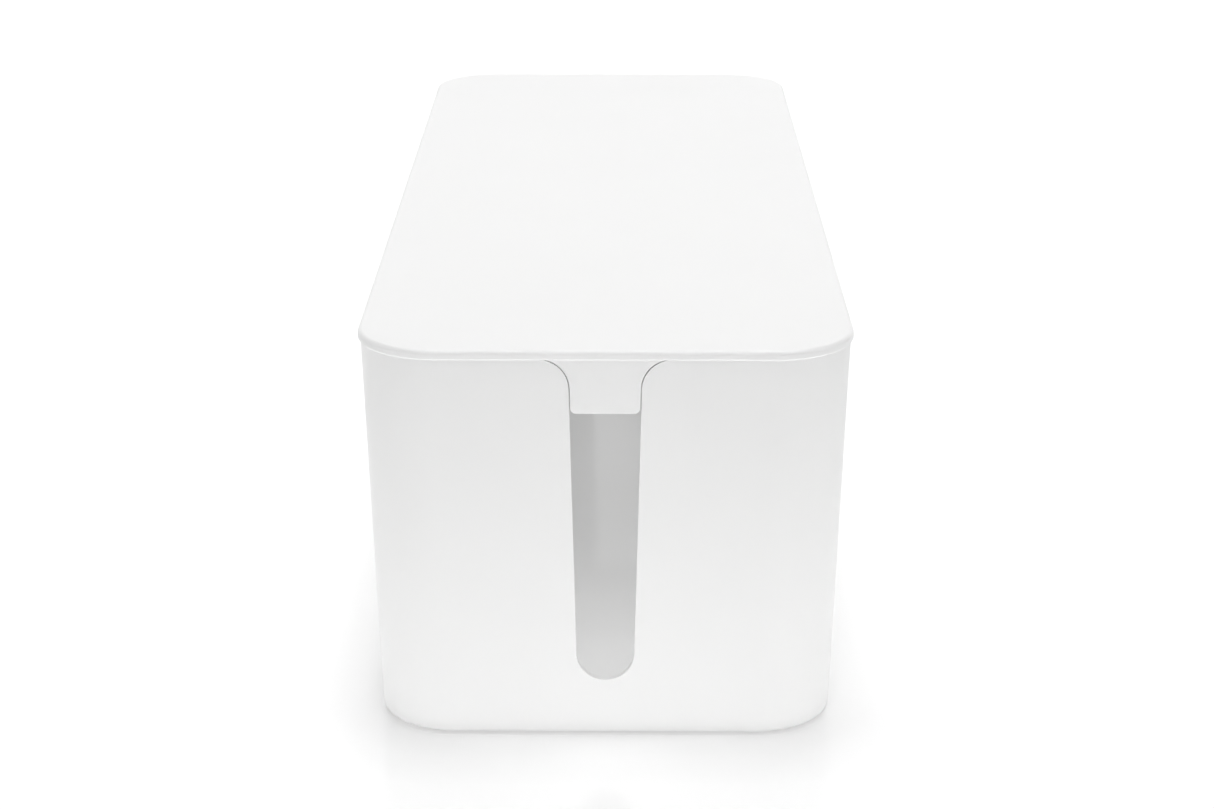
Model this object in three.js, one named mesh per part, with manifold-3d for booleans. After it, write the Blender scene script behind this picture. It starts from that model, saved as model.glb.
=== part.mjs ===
// A lidded cable management box: a drafted tub with a cable slot in each end wall, a lift-off lid
// whose tongues close the tops of the slots, and four rubber feet stuck into recesses.
// Millimetres, +Z up. The origin is on the surface that the feet stand on, under the middle of the box.
// X runs across the box and Y along it, so the slots face -Y (front) and +Y (rear).
import * as THREE from "three";
import { mergeVertices } from "three/addons/utils/BufferGeometryUtils.js";
import Module from "manifold-3d";

// Overall size, with the lid on.
const WIDTH = 157;
const LENGTH = 407;
const HEIGHT = 133.5;
const PLAN_CORNER = 26; // radius of the lid's corners, seen from above
const CORNER_STEPS = 14; // straight pieces in each rounded corner
const ROUND_STEPS = 4; // straight pieces in each small rounded edge

// Lid: a flat panel with a thicker edge, a rib that locates it inside the tub's mouth, and a tongue
// at each end.
const LID_PANEL = 2.25;
const LID_EDGE = 3;
const LID_OVERHANG = 0.8; // past the tub's rim, all round
const LID_TOP_ROUND = 1.5;
const LID_UNDER_ROUND = 0.5;
const RIB_HEIGHT = 6;
const RIB_WALL = 1.6;
const RIB_PLAY = 0.6; // between the rib and the tub's inner wall

// Tub: every wall leans out by DRAFT for each millimetre of height, and its corners keep their radius.
const WALL = 2.2;
const FLOOR = 2.5;
const DRAFT = 0.0248;
const BASE_ROUND = 1.2; // outer edge of the base
const FLOOR_FILLET = 4; // between the floor and the walls, inside

// Cable slots: a round end, sides that open upwards, and round shoulders at the rim.
const SLOT_END_Z = 20.3; // lowest point of the slot
const SLOT_END_RADIUS = 9.3;
const SLOT_TOP_HALF = 11.55; // half width where the sides would meet the rim
const SLOT_SHOULDER = 9.75;
const TONGUE_BOTTOM_Z = 112.7;
const TONGUE_PLAY = 0.3;
const TONGUE_CORNER = 1.8;

// Feet: rubber discs, each held in a shallow recess by a disc of adhesive film.
const FOOT_PROUD = 1; // how far a foot stands below the base
const FOOT_RADIUS = 6.35;
const FOOT_EDGE = 0.4;
const FILM_THICKNESS = 0.25;
const RECESS_DEPTH = 1.25;
const RECESS_RADIUS = 6.85;
const FOOT_X = 52.5;
const FOOT_Y = 177.5;
const DISC_STEPS = 32;

const BASE_Z = FOOT_PROUD;
const FLOOR_Z = BASE_Z + FLOOR;
const RIM_Z = HEIGHT - LID_EDGE;

const wasm = await Module();
wasm.setup();

// ---- Tools -------------------------------------------------------------------------------------

function solidOf(geometry) {
  const bare = geometry.clone();
  bare.deleteAttribute("normal");
  bare.deleteAttribute("uv");
  const merged = mergeVertices(bare, 1e-4);
  return new wasm.Manifold(
    new wasm.Mesh({
      numProp: 3,
      vertProperties: merged.attributes.position.array,
      triVerts: new Uint32Array(merged.index.array),
    }),
  );
}

function geometryOf(solid) {
  const mesh = solid.getMesh();
  const geometry = new THREE.BufferGeometry();
  geometry.setAttribute("position", new THREE.BufferAttribute(mesh.vertProperties, 3));
  geometry.setIndex(new THREE.BufferAttribute(mesh.triVerts, 1));
  geometry.computeVertexNormals();
  return geometry;
}

// How far the draft has moved a wall inwards at a height, counted from the rim.
function draftShift(z) {
  return DRAFT * Math.max(0, RIM_Z - z);
}

// Every outline of the box, seen from above, is the lid's outline moved inwards by an inset. The part
// of the inset that comes from the draft leaves the corner radius as it is.
function outline(inset, z) {
  const halfX = WIDTH / 2 - inset;
  const halfY = LENGTH / 2 - inset;
  const radius = PLAN_CORNER - inset + draftShift(z);
  const corners = [
    [halfX - radius, halfY - radius],
    [radius - halfX, halfY - radius],
    [radius - halfX, radius - halfY],
    [halfX - radius, radius - halfY],
  ];
  return corners.flatMap(([x, y], quarter) =>
    Array.from({ length: CORNER_STEPS + 1 }, (_, step) => {
      const angle = (quarter + step / CORNER_STEPS) * (Math.PI / 2);
      return new THREE.Vector2(x + radius * Math.cos(angle), y + radius * Math.sin(angle));
    }),
  );
}

// A closed solid whose vertical section, from its lower middle round to its upper middle, is a list of
// [inset, z]. The first and last sections are closed by flat caps.
function sweptRound(section) {
  const rings = section.map(([inset, z]) => outline(inset, z).map((p) => [p.x, p.y, z]));
  const count = rings[0].length;
  const faces = [];
  for (let level = 0; level + 1 < rings.length; level++) {
    for (let i = 0; i < count; i++) {
      const a = level * count + i;
      const b = level * count + ((i + 1) % count);
      faces.push(a, b, b + count, a, b + count, a + count);
    }
  }
  const top = (rings.length - 1) * count;
  for (let i = 1; i + 1 < count; i++) {
    faces.push(0, i + 1, i);
    faces.push(top, top + i, top + i + 1);
  }
  const geometry = new THREE.BufferGeometry();
  geometry.setAttribute("position", new THREE.Float32BufferAttribute(rings.flat(2), 3));
  geometry.setIndex(faces);
  return geometry;
}

// Points of a quarter round in a section, from one angle to another in degrees.
function quarterRound(inset, z, radius, from, to) {
  return Array.from({ length: ROUND_STEPS + 1 }, (_, step) => {
    const angle = THREE.MathUtils.degToRad(from + ((to - from) * step) / ROUND_STEPS);
    return [inset - radius * Math.cos(angle), z + radius * Math.sin(angle)];
  });
}

// A shape drawn in X and Z, extruded along +Y from the given place.
function extrudedAlongY(shape, y, depth) {
  const settings = { depth, bevelEnabled: false, curveSegments: CORNER_STEPS };
  const geometry = new THREE.ExtrudeGeometry(shape, settings);
  return geometry.rotateX(Math.PI / 2).translate(0, y + depth, 0);
}

function part(name, geometry, material) {
  const mesh = new THREE.Mesh(geometry, material);
  mesh.name = name;
  return mesh;
}

// ---- Shared sizes ------------------------------------------------------------------------------

const outerInset = (z) => LID_OVERHANG + draftShift(z);
const innerInset = (z) => outerInset(z) + WALL;

// The slot's right side is the line x = SLOT_TOP_HALF - lean * (RIM_Z - z).
const slotEndCentreZ = SLOT_END_Z + SLOT_END_RADIUS;
const lean = (SLOT_TOP_HALF - SLOT_END_RADIUS) / (RIM_Z - slotEndCentreZ);
const leanAngle = Math.atan(lean);
const slotHalf = (z) => SLOT_TOP_HALF - lean * (RIM_Z - z);
const shoulderZ = RIM_Z - SLOT_SHOULDER;
const shoulderX = slotHalf(shoulderZ) + SLOT_SHOULDER / Math.cos(leanAngle);

// ---- Tub ---------------------------------------------------------------------------------------

function slotShape() {
  const above = RIM_Z + 10;
  const shape = new THREE.Shape();
  shape.moveTo(-shoulderX, above);
  shape.lineTo(-shoulderX, RIM_Z);
  shape.absarc(-shoulderX, shoulderZ, SLOT_SHOULDER, Math.PI / 2, leanAngle, true);
  shape.absarc(0, slotEndCentreZ, SLOT_END_RADIUS, Math.PI + leanAngle, -leanAngle, false);
  shape.absarc(shoulderX, shoulderZ, SLOT_SHOULDER, Math.PI - leanAngle, Math.PI / 2, true);
  shape.lineTo(shoulderX, above);
  return shape;
}

const FOOT_PLACES = {
  front_left: [-FOOT_X, -FOOT_Y],
  front_right: [FOOT_X, -FOOT_Y],
  rear_left: [-FOOT_X, FOOT_Y],
  rear_right: [FOOT_X, FOOT_Y],
};

function footRecess([x, y]) {
  const below = 1;
  const height = RECESS_DEPTH + below;
  const cylinder = new THREE.CylinderGeometry(RECESS_RADIUS, RECESS_RADIUS, height, DISC_STEPS);
  return cylinder.rotateX(Math.PI / 2).translate(x, y, BASE_Z - below + height / 2);
}

function tubGeometry() {
  const baseEdge = outerInset(BASE_Z + BASE_ROUND);
  const floorEdge = innerInset(FLOOR_Z + FLOOR_FILLET);
  const shell = sweptRound([
    ...quarterRound(baseEdge + BASE_ROUND, BASE_Z + BASE_ROUND, BASE_ROUND, -90, 0),
    [outerInset(RIM_Z), RIM_Z],
    [innerInset(RIM_Z), RIM_Z],
    ...quarterRound(floorEdge + FLOOR_FILLET, FLOOR_Z + FLOOR_FILLET, FLOOR_FILLET, 0, -90),
  ]);
  let tub = solidOf(shell);
  tub = tub.subtract(solidOf(extrudedAlongY(slotShape(), -LENGTH, 2 * LENGTH)));
  for (const place of Object.values(FOOT_PLACES)) {
    tub = tub.subtract(solidOf(footRecess(place)));
  }
  return geometryOf(tub);
}

// ---- Lid ---------------------------------------------------------------------------------------

function tongueShape() {
  const insideLid = RIM_Z + LID_PANEL / 2;
  const concave = SLOT_SHOULDER + TONGUE_PLAY;
  const meets = Math.asin(SLOT_SHOULDER / concave); // where the tongue's edge reaches the rim's height
  const topX = shoulderX - concave * Math.cos(meets);
  const sideX = slotHalf(TONGUE_BOTTOM_Z) - TONGUE_PLAY / Math.cos(leanAngle);
  const cornerX = sideX - TONGUE_CORNER;
  const cornerZ = TONGUE_BOTTOM_Z + TONGUE_CORNER;
  const shape = new THREE.Shape();
  shape.moveTo(-topX, insideLid);
  shape.lineTo(-topX, RIM_Z);
  shape.absarc(-shoulderX, shoulderZ, concave, meets, leanAngle, true);
  shape.absarc(-cornerX, cornerZ, TONGUE_CORNER, Math.PI, 1.5 * Math.PI, false);
  shape.absarc(cornerX, cornerZ, TONGUE_CORNER, 1.5 * Math.PI, 2 * Math.PI, false);
  shape.absarc(shoulderX, shoulderZ, concave, Math.PI - leanAngle, Math.PI - meets, true);
  shape.lineTo(topX, insideLid);
  return shape;
}

// The front tongue lies flush with the tub's outer face, so it leans with the draft, and its back runs
// into the lid's rib.
function tongueGeometry() {
  const intoRib = 0.4;
  const depth = WALL + RIB_PLAY + intoRib;
  const rimY = outerInset(RIM_Z) - LENGTH / 2;
  const shear = new THREE.Matrix4().makeShear(0, 0, 0, 0, 0, -DRAFT).setPosition(0, DRAFT * RIM_Z, 0);
  return extrudedAlongY(tongueShape(), rimY, depth).applyMatrix4(shear);
}

function lidGeometry() {
  const ribOuter = innerInset(RIM_Z) + RIB_PLAY;
  const ribInner = ribOuter + RIB_WALL;
  const panel = sweptRound([
    [ribInner, HEIGHT - LID_PANEL],
    [ribInner, RIM_Z - RIB_HEIGHT],
    [ribOuter, RIM_Z - RIB_HEIGHT],
    [ribOuter, RIM_Z],
    ...quarterRound(LID_UNDER_ROUND, RIM_Z + LID_UNDER_ROUND, LID_UNDER_ROUND, -90, 0),
    ...quarterRound(LID_TOP_ROUND, HEIGHT - LID_TOP_ROUND, LID_TOP_ROUND, 0, 90),
  ]);
  const front = tongueGeometry();
  const rear = tongueGeometry().rotateZ(Math.PI);
  return geometryOf(solidOf(panel).add(solidOf(front)).add(solidOf(rear)));
}

// ---- Feet --------------------------------------------------------------------------------------

function footGeometry() {
  const top = BASE_Z + RECESS_DEPTH - FILM_THICKNESS;
  const profile = [
    [0, 0],
    [FOOT_RADIUS - FOOT_EDGE, 0],
    [FOOT_RADIUS, FOOT_EDGE],
    [FOOT_RADIUS, top],
    [0, top],
  ].map(([radius, z]) => new THREE.Vector2(radius, z));
  return new THREE.LatheGeometry(profile, DISC_STEPS).rotateX(Math.PI / 2);
}

function filmGeometry() {
  const disc = new THREE.CylinderGeometry(FOOT_RADIUS, FOOT_RADIUS, FILM_THICKNESS, DISC_STEPS);
  const ceiling = BASE_Z + RECESS_DEPTH;
  return disc.rotateX(Math.PI / 2).translate(0, 0, ceiling - FILM_THICKNESS / 2);
}

// ---- Assembly ----------------------------------------------------------------------------------

const whiteShell = new THREE.MeshStandardMaterial({ color: 0xf1f1f0, roughness: 0.4, metalness: 0 });
const whiteLid = new THREE.MeshStandardMaterial({ color: 0xf3f3f2, roughness: 0.35, metalness: 0 });
const greyRubber = new THREE.MeshStandardMaterial({ color: 0x8b8c8e, roughness: 0.85, metalness: 0 });
const clearFilm = new THREE.MeshStandardMaterial({ color: 0xd9d6c8, roughness: 0.6, metalness: 0 });

const box = new THREE.Group();
box.add(part("tub", tubGeometry(), whiteShell));
box.add(part("lid", lidGeometry(), whiteLid));
for (const [corner, [x, y]] of Object.entries(FOOT_PLACES)) {
  const foot = part(`rubber_foot_${corner}`, footGeometry(), greyRubber);
  const film = part(`adhesive_disc_${corner}`, filmGeometry(), clearFilm);
  foot.position.set(x, y, 0);
  film.position.set(x, y, 0);
  box.add(foot, film);
}

export default box;
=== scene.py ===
"""A white cable management box: a drafted tub with a slot in each end wall, a lift-off lid, four feet."""

import math

import bmesh
import bpy
from mathutils import Matrix, Vector


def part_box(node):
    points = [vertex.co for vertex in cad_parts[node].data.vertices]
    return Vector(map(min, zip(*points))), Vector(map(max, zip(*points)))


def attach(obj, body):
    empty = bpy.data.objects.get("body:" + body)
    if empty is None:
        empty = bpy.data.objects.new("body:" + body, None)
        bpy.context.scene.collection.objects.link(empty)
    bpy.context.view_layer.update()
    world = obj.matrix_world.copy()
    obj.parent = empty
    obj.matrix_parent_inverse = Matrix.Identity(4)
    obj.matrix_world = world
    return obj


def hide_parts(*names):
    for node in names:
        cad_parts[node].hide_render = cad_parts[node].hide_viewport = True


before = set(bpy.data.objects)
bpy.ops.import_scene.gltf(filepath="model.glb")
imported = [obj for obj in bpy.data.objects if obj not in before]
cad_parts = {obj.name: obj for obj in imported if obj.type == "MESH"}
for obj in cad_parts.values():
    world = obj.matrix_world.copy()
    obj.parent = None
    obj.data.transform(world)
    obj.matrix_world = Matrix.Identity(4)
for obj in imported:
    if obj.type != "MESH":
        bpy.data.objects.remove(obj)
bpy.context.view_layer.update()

MM = 0.001

# Sizes that the frame gives.
tub_low, tub_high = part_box("tub")
lid_low, lid_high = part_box("lid")
HALF_WIDTH = lid_high.x
HALF_LENGTH = lid_high.y
TOP_Z = lid_high.z
RIM_Z = tub_high.z
BASE_Z = tub_low.z
TONGUE_BOTTOM_Z = lid_low.z
OVERHANG = lid_high.x - tub_high.x

# Sizes inside the tub's and the lid's boxes, as the part has them.
PLAN_CORNER = 26 * MM
WALL = 2.2 * MM
FLOOR = 2.5 * MM
DRAFT = 0.0248
BASE_ROUND = 1.2 * MM
FLOOR_FILLET = 4 * MM
LID_PANEL = 2.25 * MM
LID_TOP_ROUND = 1.5 * MM
LID_UNDER_ROUND = 0.5 * MM
RIB_HEIGHT = 6 * MM
RIB_WALL = 1.6 * MM
RIB_PLAY = 0.6 * MM
SLOT_END_Z = 20.3 * MM
SLOT_END_RADIUS = 9.3 * MM
SLOT_TOP_HALF = 11.55 * MM
SLOT_SHOULDER = 9.75 * MM
TONGUE_PLAY = 0.3 * MM
TONGUE_CORNER = 1.8 * MM
TONGUE_INTO_RIB = 0.4 * MM
RECESS_DEPTH = 1.25 * MM
RECESS_RADIUS = 6.85 * MM
FOOT_EDGE = 0.4 * MM

# The feet's undersides. Grooves are in shares of the foot's radius.
FOOT_DIMPLE = 0.25 * MM
FOOT_GROOVES = (0.52, 0.66, 0.8)
FOOT_GROOVE_HALF = 0.03
FOOT_GROOVE_DEPTH = 0.12 * MM

# How finely the meshes are cut.
CORNER_STEPS = 40
ROUND_STEPS = 8
ARC_STEPS = 32
DISC_STEPS = 72

# Small roundings that a moulding has on its edges.
SLOT_EDGE = 0.12 * MM
RECESS_EDGE = 0.2 * MM
SHARP = math.radians(35)

# Where most of a noise texture's values lie.
NOISE_LOW = 0.3
NOISE_HIGH = 0.7

# White plastic.
GLOSS_RANGE = 0.04
PLASTIC_IOR = 1.53
LIGHT_THROUGH = 0.2
LIGHT_DEPTH = 1.5 * MM

# Camera, from the box's middle at floor level.
CAMERA_BACK = 903.2 * MM
CAMERA_UP = 368 * MM
CAMERA_SIDE = -0.6 * MM
CAMERA_TILT = math.radians(19.79)
CAMERA_HEADING = math.radians(0.324)
CAMERA_LENS = 71.37

# Stage: what glows, with 1 as display white, and lamp powers in watts.
STAGE_RADIUS = 8
FLOOR_GLOW = 0.27
# The next three numbers paint a shade on the floor round the base: the floor glows less right beside the
# box.
FLOOR_GLOW_IN_PAINTED_SHADE = 0.15
FLOOR_SHADE_WIDTH = 0.035
FLOOR_SHADE_EDGE = 1 * MM
BACKDROP_GLOW = 1.3
SKY_GLOW = 0.02
RING_GLOW = 0.85
RING_SIDE_GLOW = 0.69
RING_WIDTH = 0.28
RING_GAP = 1.5 * MM
TOP_POWER = 16.8
FRONT_POWER = 14.6
FILL_POWER = 3.7
LEFT_POWER = 3.2
RIGHT_POWER = 2.5
BACK_POWER = 8
WALL_POWER = 0.062
FRONT_WALL_POWER = 0.021


# ---- Camera ------------------------------------------------------------------------------------


def make_camera():
    data = bpy.data.cameras.new("camera")
    data.lens = CAMERA_LENS
    data.sensor_width = 36
    data.clip_end = 50
    camera = bpy.data.objects.new("camera", data)
    turn = Matrix.Rotation(CAMERA_HEADING, 3, "Z")
    camera.location = turn @ Vector((CAMERA_SIDE, -CAMERA_BACK, CAMERA_UP))
    camera.rotation_euler = (math.pi / 2 - CAMERA_TILT, 0, CAMERA_HEADING)
    bpy.context.scene.collection.objects.link(camera)
    bpy.context.scene.camera = camera


# ---- Mesh tools --------------------------------------------------------------------------------


def draft_shift(z):
    """How far the draft has moved a wall inwards at a height, counted from the rim."""
    return DRAFT * max(0, RIM_Z - z)


def outer_inset(z):
    return OVERHANG + draft_shift(z)


def inner_inset(z):
    return outer_inset(z) + WALL


def outline(inset, z):
    """The lid's outline moved inwards, counterclockwise from above. The draft's share of the inset
    leaves the corner radius as it is."""
    radius = PLAN_CORNER - inset + draft_shift(z)
    x = HALF_WIDTH - inset - radius
    y = HALF_LENGTH - inset - radius
    points = []
    for quarter, (cx, cy) in enumerate(((x, y), (-x, y), (-x, -y), (x, -y))):
        for step in range(CORNER_STEPS + 1):
            angle = (quarter + step / CORNER_STEPS) * math.pi / 2
            points.append((cx + radius * math.cos(angle), cy + radius * math.sin(angle)))
    return points


def quarter_round(inset, z, radius, start, end):
    """Section points of a quarter round about (inset, z), from one angle to another in degrees."""
    points = []
    for step in range(ROUND_STEPS + 1):
        angle = math.radians(start + (end - start) * step / ROUND_STEPS)
        points.append((inset - radius * math.cos(angle), z + radius * math.sin(angle)))
    return points


def swept_round(section):
    """A closed solid whose section runs from its lower middle round to its upper middle."""
    bm = bmesh.new()
    rings = [[bm.verts.new((x, y, z)) for x, y in outline(inset, z)] for inset, z in section]
    for lower, upper in zip(rings, rings[1:]):
        for i in range(len(lower)):
            j = (i + 1) % len(lower)
            bm.faces.new((lower[i], lower[j], upper[j], upper[i]))
    bm.faces.new(list(reversed(rings[0])))
    bm.faces.new(rings[-1])
    return bm


def prism_along_y(points, near, far):
    """A closed solid from an outline of (x, z) points, between two places on Y."""
    bm = bmesh.new()
    front = [bm.verts.new((x, near, z)) for x, z in points]
    back = [bm.verts.new((x, far, z)) for x, z in points]
    bm.faces.new(front)
    bm.faces.new(list(reversed(back)))
    for i in range(len(points)):
        j = (i + 1) % len(points)
        bm.faces.new((front[j], front[i], back[i], back[j]))
    bmesh.ops.recalc_face_normals(bm, faces=bm.faces)
    return bm


def turned_about_z(profile, steps, place=(0, 0, 0)):
    """A closed solid from a profile of (radius, z) points that starts and ends on the axis."""
    bm = bmesh.new()
    rings = []
    for radius, z in profile:
        if radius == 0:
            rings.append([bm.verts.new((0, 0, z))])
            continue
        angles = [2 * math.pi * i / steps for i in range(steps)]
        rings.append([bm.verts.new((radius * math.cos(a), radius * math.sin(a), z)) for a in angles])
    for lower, upper in zip(rings, rings[1:]):
        for i in range(steps):
            j = (i + 1) % steps
            corners = [lower[i % len(lower)], lower[j % len(lower)]]
            corners += [upper[j % len(upper)], upper[i % len(upper)]]
            unique = list(dict.fromkeys(corners))
            bm.faces.new(unique)
    bmesh.ops.recalc_face_normals(bm, faces=bm.faces)
    bmesh.ops.translate(bm, verts=bm.verts, vec=place)
    return bm


def arc(cx, cz, radius, start, end, steps=ARC_STEPS):
    """Points of an arc in X and Z, angles in radians."""
    angles = [start + (end - start) * i / steps for i in range(steps + 1)]
    return [(cx + radius * math.cos(a), cz + radius * math.sin(a)) for a in angles]


def new_object(name, bm):
    mesh = bpy.data.meshes.new(name)
    bm.to_mesh(mesh)
    bm.free()
    piece = bpy.data.objects.new(name, mesh)
    bpy.context.scene.collection.objects.link(piece)
    return piece


def applied(piece):
    """Puts the result of a piece's modifiers into its mesh."""
    depsgraph = bpy.context.evaluated_depsgraph_get()
    mesh = bpy.data.meshes.new_from_object(piece.evaluated_get(depsgraph))
    piece.modifiers.clear()
    piece.data = mesh
    mesh.name = piece.name


def combine(piece, other_bm, operation):
    """Joins a solid to a piece or cuts it out."""
    other = new_object("tool", other_bm)
    modifier = piece.modifiers.new("combine", "BOOLEAN")
    modifier.operation = operation
    modifier.solver = "EXACT"
    modifier.object = other
    applied(piece)
    bpy.data.objects.remove(other)


def round_edges(piece, wanted, width, segments=4):
    """Rounds the sharp edges of a piece whose middle passes the test."""
    bm = bmesh.new()
    bm.from_mesh(piece.data)
    edges = []
    for edge in bm.edges:
        if len(edge.link_faces) != 2 or edge.calc_face_angle(0) < SHARP:
            continue
        if wanted((edge.verts[0].co + edge.verts[1].co) / 2):
            edges.append(edge)
    bmesh.ops.bevel(
        bm, geom=edges, offset=width, offset_type="OFFSET", segments=segments, profile=0.5, affect="EDGES"
    )
    bm.to_mesh(piece.data)
    bm.free()


def smooth(piece):
    """Smooth shading that keeps the flat faces flat."""
    piece.data.polygons.foreach_set("use_smooth", [True] * len(piece.data.polygons))
    piece.data.set_sharp_from_angle(angle=SHARP)
    modifier = piece.modifiers.new("flat faces", "WEIGHTED_NORMAL")
    modifier.keep_sharp = True
    modifier.weight = 100
    applied(piece)


# ---- Tub ---------------------------------------------------------------------------------------

slot_end_centre_z = SLOT_END_Z + SLOT_END_RADIUS
slot_lean = (SLOT_TOP_HALF - SLOT_END_RADIUS) / (RIM_Z - slot_end_centre_z)
slot_angle = math.atan(slot_lean)
shoulder_z = RIM_Z - SLOT_SHOULDER


def slot_half(z):
    return SLOT_TOP_HALF - slot_lean * (RIM_Z - z)


shoulder_x = slot_half(shoulder_z) + SLOT_SHOULDER / math.cos(slot_angle)


def slot_outline():
    above = RIM_Z + 10 * MM
    points = [(-shoulder_x, above)]
    points += arc(-shoulder_x, shoulder_z, SLOT_SHOULDER, math.pi / 2, slot_angle)
    points += arc(0, slot_end_centre_z, SLOT_END_RADIUS, math.pi + slot_angle, 2 * math.pi - slot_angle)
    points += arc(shoulder_x, shoulder_z, SLOT_SHOULDER, math.pi - slot_angle, math.pi / 2)
    points.append((shoulder_x, above))
    return points


def foot_centres():
    names = [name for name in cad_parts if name.startswith("rubber_foot_")]
    return {name: sum(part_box(name), Vector()) / 2 for name in sorted(names)}


def foot_recess(centre):
    ceiling = BASE_Z + RECESS_DEPTH
    below = BASE_Z - MM
    profile = [(0, below), (RECESS_RADIUS, below), (RECESS_RADIUS, ceiling), (0, ceiling)]
    return turned_about_z(profile, DISC_STEPS, (centre.x, centre.y, 0))


def make_tub():
    base_edge = outer_inset(BASE_Z + BASE_ROUND)
    floor_z = BASE_Z + FLOOR
    floor_edge = inner_inset(floor_z + FLOOR_FILLET)
    section = quarter_round(base_edge + BASE_ROUND, BASE_Z + BASE_ROUND, BASE_ROUND, -90, 0)
    section += [(outer_inset(RIM_Z), RIM_Z), (inner_inset(RIM_Z), RIM_Z)]
    section += quarter_round(floor_edge + FLOOR_FILLET, floor_z + FLOOR_FILLET, FLOOR_FILLET, 0, -90)
    tub = new_object("tub_shell", swept_round(section))
    combine(tub, prism_along_y(slot_outline(), -2 * HALF_LENGTH, 2 * HALF_LENGTH), "DIFFERENCE")
    for centre in foot_centres().values():
        combine(tub, foot_recess(centre), "DIFFERENCE")
    round_edges(tub, lambda p: p.z > floor_z, SLOT_EDGE)
    round_edges(tub, lambda p: p.z < floor_z, RECESS_EDGE, 3)
    smooth(tub)
    return tub


# ---- Lid ---------------------------------------------------------------------------------------


def tongue_outline():
    inside_lid = RIM_Z + LID_PANEL / 2
    concave = SLOT_SHOULDER + TONGUE_PLAY
    meets = math.asin(SLOT_SHOULDER / concave)
    top_x = shoulder_x - concave * math.cos(meets)
    side_x = slot_half(TONGUE_BOTTOM_Z) - TONGUE_PLAY / math.cos(slot_angle)
    corner_x = side_x - TONGUE_CORNER
    corner_z = TONGUE_BOTTOM_Z + TONGUE_CORNER
    points = [(-top_x, inside_lid)]
    points += arc(-shoulder_x, shoulder_z, concave, meets, slot_angle)
    points += arc(-corner_x, corner_z, TONGUE_CORNER, math.pi, 1.5 * math.pi, ARC_STEPS // 2)
    points += arc(corner_x, corner_z, TONGUE_CORNER, 1.5 * math.pi, 2 * math.pi, ARC_STEPS // 2)
    points += arc(shoulder_x, shoulder_z, concave, math.pi - slot_angle, math.pi - meets)
    points.append((top_x, inside_lid))
    return points


def tongue(end):
    """The tongue at the front (end -1) or the rear (end 1), flush with the tub's leaning outer face."""
    rim_y = HALF_LENGTH - OVERHANG
    bm = prism_along_y(tongue_outline(), -rim_y, -rim_y + WALL + RIB_PLAY + TONGUE_INTO_RIB)
    for vert in bm.verts:
        vert.co.y += DRAFT * (RIM_Z - vert.co.z)
    front = [
        edge
        for edge in bm.edges
        if edge.calc_face_angle(0) > SHARP
        and edge.verts[0].co.z < RIM_Z - LID_UNDER_ROUND
        and edge.verts[1].co.z < RIM_Z - LID_UNDER_ROUND
    ]
    bmesh.ops.bevel(
        bm, geom=front, offset=SLOT_EDGE, offset_type="OFFSET", segments=4, profile=0.5, affect="EDGES"
    )
    if end > 0:
        bmesh.ops.rotate(bm, verts=bm.verts, cent=(0, 0, 0), matrix=Matrix.Rotation(math.pi, 3, "Z"))
    return bm


def make_lid():
    rib_outer = inner_inset(RIM_Z) + RIB_PLAY
    rib_inner = rib_outer + RIB_WALL
    section = [
        (rib_inner, TOP_Z - LID_PANEL),
        (rib_inner, RIM_Z - RIB_HEIGHT),
        (rib_outer, RIM_Z - RIB_HEIGHT),
        (rib_outer, RIM_Z),
    ]
    section += quarter_round(LID_UNDER_ROUND, RIM_Z + LID_UNDER_ROUND, LID_UNDER_ROUND, -90, 0)
    section += quarter_round(LID_TOP_ROUND, TOP_Z - LID_TOP_ROUND, LID_TOP_ROUND, 0, 90)
    lid = new_object("lid_shell", swept_round(section))
    round_edges(lid, lambda p: p.z < RIM_Z - RIB_HEIGHT / 2, SLOT_EDGE)
    for end in (-1, 1):
        combine(lid, tongue(end), "UNION")
    smooth(lid)
    return lid


# ---- Feet --------------------------------------------------------------------------------------


def make_foot(node):
    low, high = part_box(node)
    centre = (low + high) / 2
    radius = high.x - centre.x
    edge = FOOT_EDGE
    profile = [(0, FOOT_DIMPLE), (radius * 0.3, FOOT_DIMPLE), (radius * 0.38, 0)]
    for ring in FOOT_GROOVES:
        inner = radius * (ring - FOOT_GROOVE_HALF)
        outer = radius * (ring + FOOT_GROOVE_HALF)
        profile += [(inner, 0), (radius * ring, FOOT_GROOVE_DEPTH), (outer, 0)]
    for angle in (0, 0.4, 0.8, 1.2):
        profile.append((radius - edge + edge * math.sin(angle), edge - edge * math.cos(angle)))
    profile += [(radius, edge), (radius, high.z - edge / 2), (radius - edge / 2, high.z), (0, high.z)]
    foot = new_object(node.replace("rubber_", "soft_"), turned_about_z(profile, DISC_STEPS))
    foot.data.transform(Matrix.Translation((centre.x, centre.y, 0)))
    smooth(foot)
    return foot


# ---- Materials ---------------------------------------------------------------------------------


def new_material(name):
    material = bpy.data.materials.new(name)
    material.use_nodes = True
    nodes = material.node_tree.nodes
    nodes.clear()
    shader = nodes.new("ShaderNodeBsdfPrincipled")
    output = nodes.new("ShaderNodeOutputMaterial")
    material.node_tree.links.new(shader.outputs[0], output.inputs[0])
    return material, shader


def noise(material, size, detail=2.0, roughness=0.5):
    """Noise with features of about the given size, in the row frame."""
    nodes = material.node_tree.nodes
    place = nodes.new("ShaderNodeTexCoord")
    texture = nodes.new("ShaderNodeTexNoise")
    texture.inputs["Scale"].default_value = 1 / size
    texture.inputs["Detail"].default_value = detail
    texture.inputs["Roughness"].default_value = roughness
    material.node_tree.links.new(place.outputs["Object"], texture.inputs["Vector"])
    return texture.outputs["Fac"]


def ramp(material, value, start, end, low, high):
    """A value between start and end turned into a number between low and high."""
    node = material.node_tree.nodes.new("ShaderNodeMapRange")
    node.inputs["From Min"].default_value = start
    node.inputs["From Max"].default_value = end
    node.inputs["To Min"].default_value = low
    node.inputs["To Max"].default_value = high
    material.node_tree.links.new(value, node.inputs["Value"])
    return node.outputs["Result"]


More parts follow.
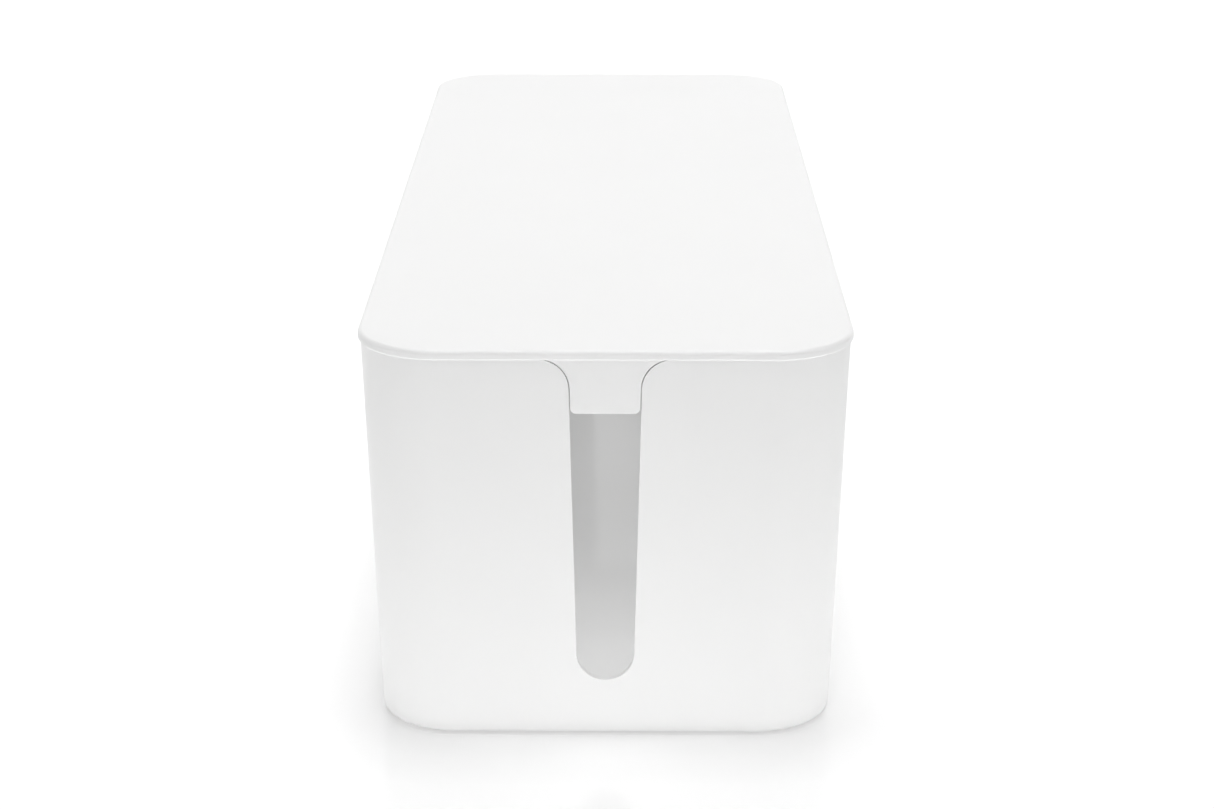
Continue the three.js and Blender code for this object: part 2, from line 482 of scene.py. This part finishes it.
def spread(material, value, low, high):
    """A noise value turned into a number between low and high."""
    return ramp(material, value, NOISE_LOW, NOISE_HIGH, low, high)


def tint(material, value, first, second):
    """A noise value turned into a colour between two colours."""
    node = material.node_tree.nodes.new("ShaderNodeMix")
    node.data_type = "RGBA"
    node.inputs["A"].default_value = (*first, 1)
    node.inputs["B"].default_value = (*second, 1)
    material.node_tree.links.new(value, node.inputs["Factor"])
    return node.outputs["Result"]


def bump(material, value, height, strength, under=None):
    """A bump of the given height, laid over another one if it is given."""
    node = material.node_tree.nodes.new("ShaderNodeBump")
    node.inputs["Strength"].default_value = strength
    node.inputs["Distance"].default_value = height
    material.node_tree.links.new(value, node.inputs["Height"])
    if under:
        material.node_tree.links.new(under, node.inputs["Normal"])
    return node.outputs["Normal"]


def white_plastic(name, pale, deep, gloss, grain):
    """White moulded ABS: a satin grain over faint flow ripples, and a little light through the wall."""
    material, shader = new_material(name)
    links = material.node_tree.links
    flow = noise(material, 60 * MM, 3)
    links.new(tint(material, flow, deep, pale), shader.inputs["Base Color"])
    fine = noise(material, grain, 3, 0.6)
    roughness = spread(material, fine, gloss - GLOSS_RANGE, gloss + GLOSS_RANGE)
    links.new(roughness, shader.inputs["Roughness"])
    ripple = bump(material, noise(material, 18 * MM, 1), 0.05 * MM, 0.25)
    links.new(bump(material, fine, 0.01 * MM, 0.5, ripple), shader.inputs["Normal"])
    shader.inputs["IOR"].default_value = PLASTIC_IOR
    shader.inputs["Subsurface Weight"].default_value = LIGHT_THROUGH
    shader.inputs["Subsurface Radius"].default_value = (1, 1, 1)
    shader.inputs["Subsurface Scale"].default_value = LIGHT_DEPTH
    return material


def rubber(name):
    material, shader = new_material(name)
    links = material.node_tree.links
    dust = noise(material, 2.5 * MM, 4)
    links.new(tint(material, dust, (0.19, 0.19, 0.2), (0.26, 0.26, 0.265)), shader.inputs["Base Color"])
    links.new(spread(material, dust, 0.72, 0.86), shader.inputs["Roughness"])
    grain = noise(material, 0.25 * MM, 2)
    links.new(bump(material, grain, 0.02 * MM, 0.6), shader.inputs["Normal"])
    return material


def adhesive(name):
    material, shader = new_material(name)
    links = material.node_tree.links
    bubbles = noise(material, 1.2 * MM, 2)
    links.new(tint(material, bubbles, (0.5, 0.48, 0.4), (0.6, 0.58, 0.5)), shader.inputs["Base Color"])
    links.new(spread(material, bubbles, 0.35, 0.55), shader.inputs["Roughness"])
    return material


def wear(piece, material):
    piece.data.materials.clear()
    piece.data.materials.append(material)


# ---- Stage -------------------------------------------------------------------------------------


def math_node(material, operation, first, second=None):
    """A Math node on a socket and, if given, a number or another socket."""
    node = material.node_tree.nodes.new("ShaderNodeMath")
    node.operation = operation
    material.node_tree.links.new(first, node.inputs[0])
    if isinstance(second, float):
        node.inputs[1].default_value = second
    elif second:
        material.node_tree.links.new(second, node.inputs[1])
    return node.outputs[0]


def vector_node(material, operation, first, second=(0, 0, 0)):
    """A Vector Math node on a socket and a constant vector."""
    node = material.node_tree.nodes.new("ShaderNodeVectorMath")
    node.operation = operation
    node.inputs[1].default_value = second
    material.node_tree.links.new(first, node.inputs[0])
    return node.outputs["Value" if operation == "LENGTH" else "Vector"]


def outside_base(material):
    """How far a place on the floor is outside the base's rounded outline."""
    place = material.node_tree.nodes.new("ShaderNodeTexCoord")
    inset = outer_inset(BASE_Z)
    radius = PLAN_CORNER - OVERHANG
    straight = (HALF_WIDTH - inset - radius, HALF_LENGTH - inset - radius, 0)
    quarter = vector_node(material, "ABSOLUTE", place.outputs["Object"])
    corner = vector_node(material, "MAXIMUM", vector_node(material, "SUBTRACT", quarter, straight))
    return math_node(material, "SUBTRACT", vector_node(material, "LENGTH", corner), radius)


def make_floor():
    profile = [(0, 0), (STAGE_RADIUS / 4, 0), (STAGE_RADIUS, 0)]
    floor = new_object("floor", turned_about_z(profile, DISC_STEPS))
    material, shader = new_material("white_floor")
    grain = noise(material, 0.4, 2)
    links = material.node_tree.links
    links.new(tint(material, grain, (0.8, 0.8, 0.8), (0.82, 0.82, 0.82)), shader.inputs["Base Color"])
    shader.inputs["Roughness"].default_value = 0.1
    shader.inputs["Emission Color"].default_value = (1, 1, 1, 1)
    # The glow is lower in a band round the base, and full again under it and farther out. This is painted
    # shade on the floor beside the box, standing in for its soft shadow.
    away = outside_base(material)
    under = ramp(material, away, -FLOOR_SHADE_EDGE, FLOOR_SHADE_EDGE, FLOOR_GLOW, FLOOR_GLOW_IN_PAINTED_SHADE)
    beyond = ramp(material, away, 0, FLOOR_SHADE_WIDTH, FLOOR_GLOW_IN_PAINTED_SHADE, FLOOR_GLOW)
    links.new(math_node(material, "MAXIMUM", under, beyond), shader.inputs["Emission Strength"])
    wear(floor, material)


def make_backdrop():
    """A white dome that is seen and reflected but casts no light and no shadow."""
    quarter = arc(0, 0, STAGE_RADIUS, 0, math.pi / 2)
    profile = [*quarter[:-1], (0, STAGE_RADIUS)]
    backdrop = new_object("backdrop", turned_about_z(profile, DISC_STEPS))
    backdrop.visible_diffuse = False
    backdrop.visible_transmission = False
    backdrop.visible_shadow = False
    material, shader = new_material("white_backdrop")
    grain = noise(material, 0.4, 2)
    links = material.node_tree.links
    links.new(tint(material, grain, (0.99, 0.99, 0.99), (1, 1, 1)), shader.inputs["Emission Color"])
    shader.inputs["Base Color"].default_value = (0, 0, 0, 1)
    shader.inputs["Emission Strength"].default_value = BACKDROP_GLOW
    wear(backdrop, material)


def area_light(name, place, target, size, power):
    data = bpy.data.lights.new(name, "AREA")
    data.shape = "RECTANGLE"
    data.size, data.size_y = size
    data.energy = power
    light = bpy.data.objects.new(name, data)
    light.location = place
    aim = Vector(target) - Vector(place)
    light.rotation_euler = aim.to_track_quat("-Z", "Y").to_euler()
    light.visible_camera = False
    bpy.context.scene.collection.objects.link(light)
    return light


def make_world():
    world = bpy.data.worlds.new("studio")
    world.use_nodes = True
    background = world.node_tree.nodes["Background"]
    background.inputs["Color"].default_value = (1, 1, 1, 1)
    background.inputs["Strength"].default_value = SKY_GLOW
    bpy.context.scene.world = world


def make_studio_lights():
    above = 1.8
    area_light("top_softbox", (0, 0.4, above), (0, 0.4, 0), (1.2, 1.2), TOP_POWER)
    area_light("front_softbox", (0.2, -0.8, above), (0.2, -0.8, 0), (1.2, 1.2), FRONT_POWER)
    area_light("fill_softbox", (0, -2, 1.3), (0, 0, 0), (1, 1), FILL_POWER)
    area_light("left_softbox", (-1.9, -0.5, 0.9), (0, 0, 0), (0.8, 0.8), LEFT_POWER)
    area_light("right_softbox", (1.9, -0.5, 0.9), (0, 0, 0), (0.8, 0.8), RIGHT_POWER)


def make_back_lamp():
    """A small lamp behind, whose light falls through the rear slot onto the floor inside."""
    lamp = area_light("back_lamp", (-0.066, 2.2, 0.92), (0, 0, 0), (0.03, 0.03), BACK_POWER)
    lamp.visible_glossy = False


def make_wall_lights():
    """What the walls and the lid let through: soft light from under the lid."""
    ceiling = RIM_Z - 10 * MM
    inside = 2 * (HALF_WIDTH - inner_inset(0))
    for name, y, length, power in (
        ("wall_light", 0, 0.34, WALL_POWER),
        ("front_wall_light", -0.165, 0.05, FRONT_WALL_POWER),
    ):
        lamp = area_light(name, (0, y, ceiling), (0, y, 0), (inside, length), power)
        lamp.data.spread = math.radians(100)
        lamp.visible_glossy = False


def make_ring_light():
    """A ring of light on the floor round the base. It shines upwards only, and casts no shadow."""
    bm = bmesh.new()
    rings = []
    for outward in (RING_GAP, RING_WIDTH):
        points = outline(outer_inset(BASE_Z) - outward, BASE_Z)
        rings.append([bm.verts.new((x, y, BASE_Z / 2)) for x, y in points])
    for i in range(len(rings[0])):
        j = (i + 1) % len(rings[0])
        bm.faces.new((rings[0][i], rings[1][i], rings[1][j], rings[0][j]))
    ring = new_object("ring_light", bm)
    ring.visible_camera = False
    ring.visible_glossy = False
    ring.visible_shadow = False
    material = bpy.data.materials.new("ring_glow")
    material.use_nodes = True
    nodes = material.node_tree.nodes
    links = material.node_tree.links
    nodes.clear()
    facing = nodes.new("ShaderNodeNewGeometry")
    glow = nodes.new("ShaderNodeEmission")
    clear = nodes.new("ShaderNodeBsdfTransparent")
    both = nodes.new("ShaderNodeAddShader")
    output = nodes.new("ShaderNodeOutputMaterial")
    place = nodes.new("ShaderNodeTexCoord")
    split = nodes.new("ShaderNodeSeparateXYZ")
    links.new(place.outputs["Object"], split.inputs["Vector"])
    sideways = math_node(material, "ABSOLUTE", split.outputs["X"])
    start, end = HALF_WIDTH - PLAN_CORNER, HALF_WIDTH + PLAN_CORNER
    strength = ramp(material, sideways, start, end, RING_GLOW, RING_SIDE_GLOW)
    upwards = ramp(material, facing.outputs["Backfacing"], 0, 1, 1, 0)
    links.new(math_node(material, "MULTIPLY", strength, upwards), glow.inputs["Strength"])
    links.new(glow.outputs[0], both.inputs[0])
    links.new(clear.outputs[0], both.inputs[1])
    links.new(both.outputs[0], output.inputs["Surface"])
    wear(ring, material)


# ---- Assembly ----------------------------------------------------------------------------------

make_camera()
scene_view = bpy.context.scene.view_settings
scene_view.view_transform = "Standard"

tub_plastic = white_plastic("tub_plastic", (0.84, 0.84, 0.838), (0.82, 0.82, 0.818), 0.42, 0.35 * MM)
lid_plastic = white_plastic("lid_plastic", (0.85, 0.85, 0.848), (0.83, 0.83, 0.828), 0.4, 0.3 * MM)
foot_rubber = rubber("foot_rubber")
adhesive_film = adhesive("adhesive_film")

tub_shell = make_tub()
wear(tub_shell, tub_plastic)
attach(tub_shell, "tub")
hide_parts("tub")

lid_shell = make_lid()
wear(lid_shell, lid_plastic)
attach(lid_shell, "lid")
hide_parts("lid")

for foot_node in foot_centres():
    soft_foot = make_foot(foot_node)
    wear(soft_foot, foot_rubber)
    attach(soft_foot, "tub")
    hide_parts(foot_node)

for node_name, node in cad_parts.items():
    if node_name.startswith("adhesive_disc_"):
        wear(node, adhesive_film)

make_floor()
make_backdrop()
make_world()
make_studio_lights()
make_back_lamp()
make_wall_lights()
make_ring_light()
